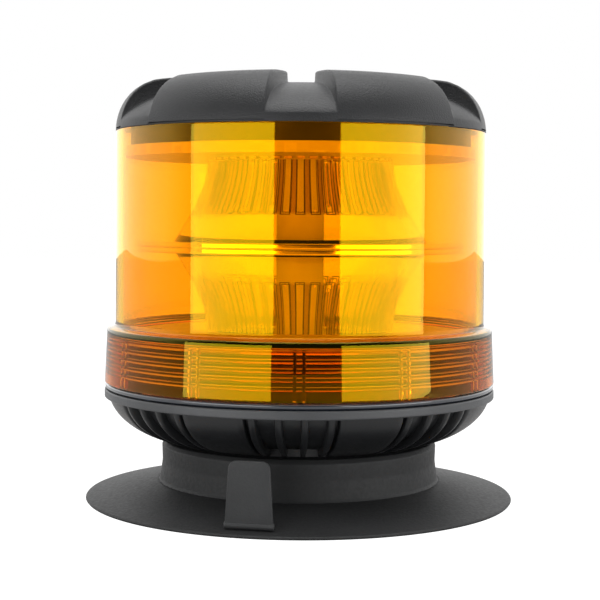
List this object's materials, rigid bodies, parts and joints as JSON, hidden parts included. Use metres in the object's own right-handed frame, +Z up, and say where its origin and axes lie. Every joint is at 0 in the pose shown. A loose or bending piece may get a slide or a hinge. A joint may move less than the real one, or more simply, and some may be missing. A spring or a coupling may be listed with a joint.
{
  "type": "led warning beacon",
  "caption": "Amber LED warning beacon with a black lobed cap, a clear lens with a ribbed skirt, fluted optics on two boards, and a rubber vacuum and magnet foot with a release tab.",
  "frame": {"origin": "centre of the ring that the foot stands on, at the ground", "axes": "+Z up along the beacon's axis, -Y the front, with the release tab just left of it, +Y the back, where the cable comes in, +X to the right seen from the front"},
  "size_m": [0.161, 0.161, 0.158],
  "materials": {
    "foot_rubber": "matt moulded rubber",
    "tab_rubber": "matt moulded rubber",
    "zinced_steel": "zinc plated",
    "ferrite": "sintered ferrite, matt dark grey",
    "pad_rubber": "thin smooth rubber pad",
    "screw_steel": "zinc plated steel",
    "black_casting": "black glass-filled nylon, fine texture",
    "green_board": "green solder resist",
    "inductor_core": "ferrite core in dark lacquer",
    "capacitor_sleeve": "dark blue sleeve with a bare metal top",
    "chip_black": "black epoxy",
    "terminal_green": "green nylon",
    "wire_red": "red insulation",
    "wire_yellow": "yellow insulation",
    "gland_nylon": "black nylon",
    "seal_rubber": "smooth rubber",
    "gasket_rubber": "glossy black silicone",
    "aluminium_plate": "bare rolled aluminium",
    "white_board": "white solder resist",
    "led_phosphor": "yellow phosphor under a clear drop, lamp off",
    "clear_optic": "clear fluted acrylic",
    "mirror_plating": "vacuum plated plastic",
    "white_nylon": "white nylon",
    "carrier_black": "black nylon",
    "o_ring_rubber": "smooth brown rubber",
    "amber_clear": "clear amber polycarbonate",
    "cap_black": "black nylon with a fine spark-eroded texture"
  },
  "bodies": {
    "beacon": {"suction_foot": "foot_rubber", "magnet_pot": "zinced_steel", "ring_magnet": "ferrite", "pole_ring": "zinced_steel", "pole_pad": "pad_rubber", "foot_screws": "screw_steel", "base_housing": "black_casting", "tie_bolt": "screw_steel", "driver_board": "green_board", "driver_screws": "screw_steel", "inductor": "inductor_core", "capacitors": "capacitor_sleeve", "transistors": "chip_black", "control_chip": "chip_black", "terminal_block": "terminal_green", "supply_leads": "wire_red", "cable_gland": "gland_nylon", "gland_seal": "seal_rubber", "gland_dome_nut": "gland_nylon", "vent_plug": "gland_nylon", "lens_gasket": "gasket_rubber", "heat_spreader": "aluminium_plate", "deck_screws": "screw_steel", "lower_led_board": "white_board", "lower_leds": "led_phosphor", "lower_optic": "clear_optic", "lower_mirror_disc": "mirror_plating", "upper_mirror_disc": "mirror_plating", "upper_optic": "clear_optic", "upper_leds": "led_phosphor", "upper_led_board": "white_board", "core_tube": "white_nylon", "core_leads": "wire_yellow", "lamp_carrier": "carrier_black", "carrier_o_ring": "o_ring_rubber", "carrier_screws": "screw_steel", "amber_lens": "amber_clear", "top_cap": "cap_black"},
    "tab": {"release_tab": "tab_rubber"}
  },
  "joints": [
    {"name": "tab_fold", "type": "hinge", "parent": "beacon", "child": "tab", "pos_m": [-0.01634, -0.07371, 0.00341], "axis": [0.9763, -0.2164, 0], "range_deg": [-40, 75], "stiffness_Nm_per_rad": 0.02}
  ]
}
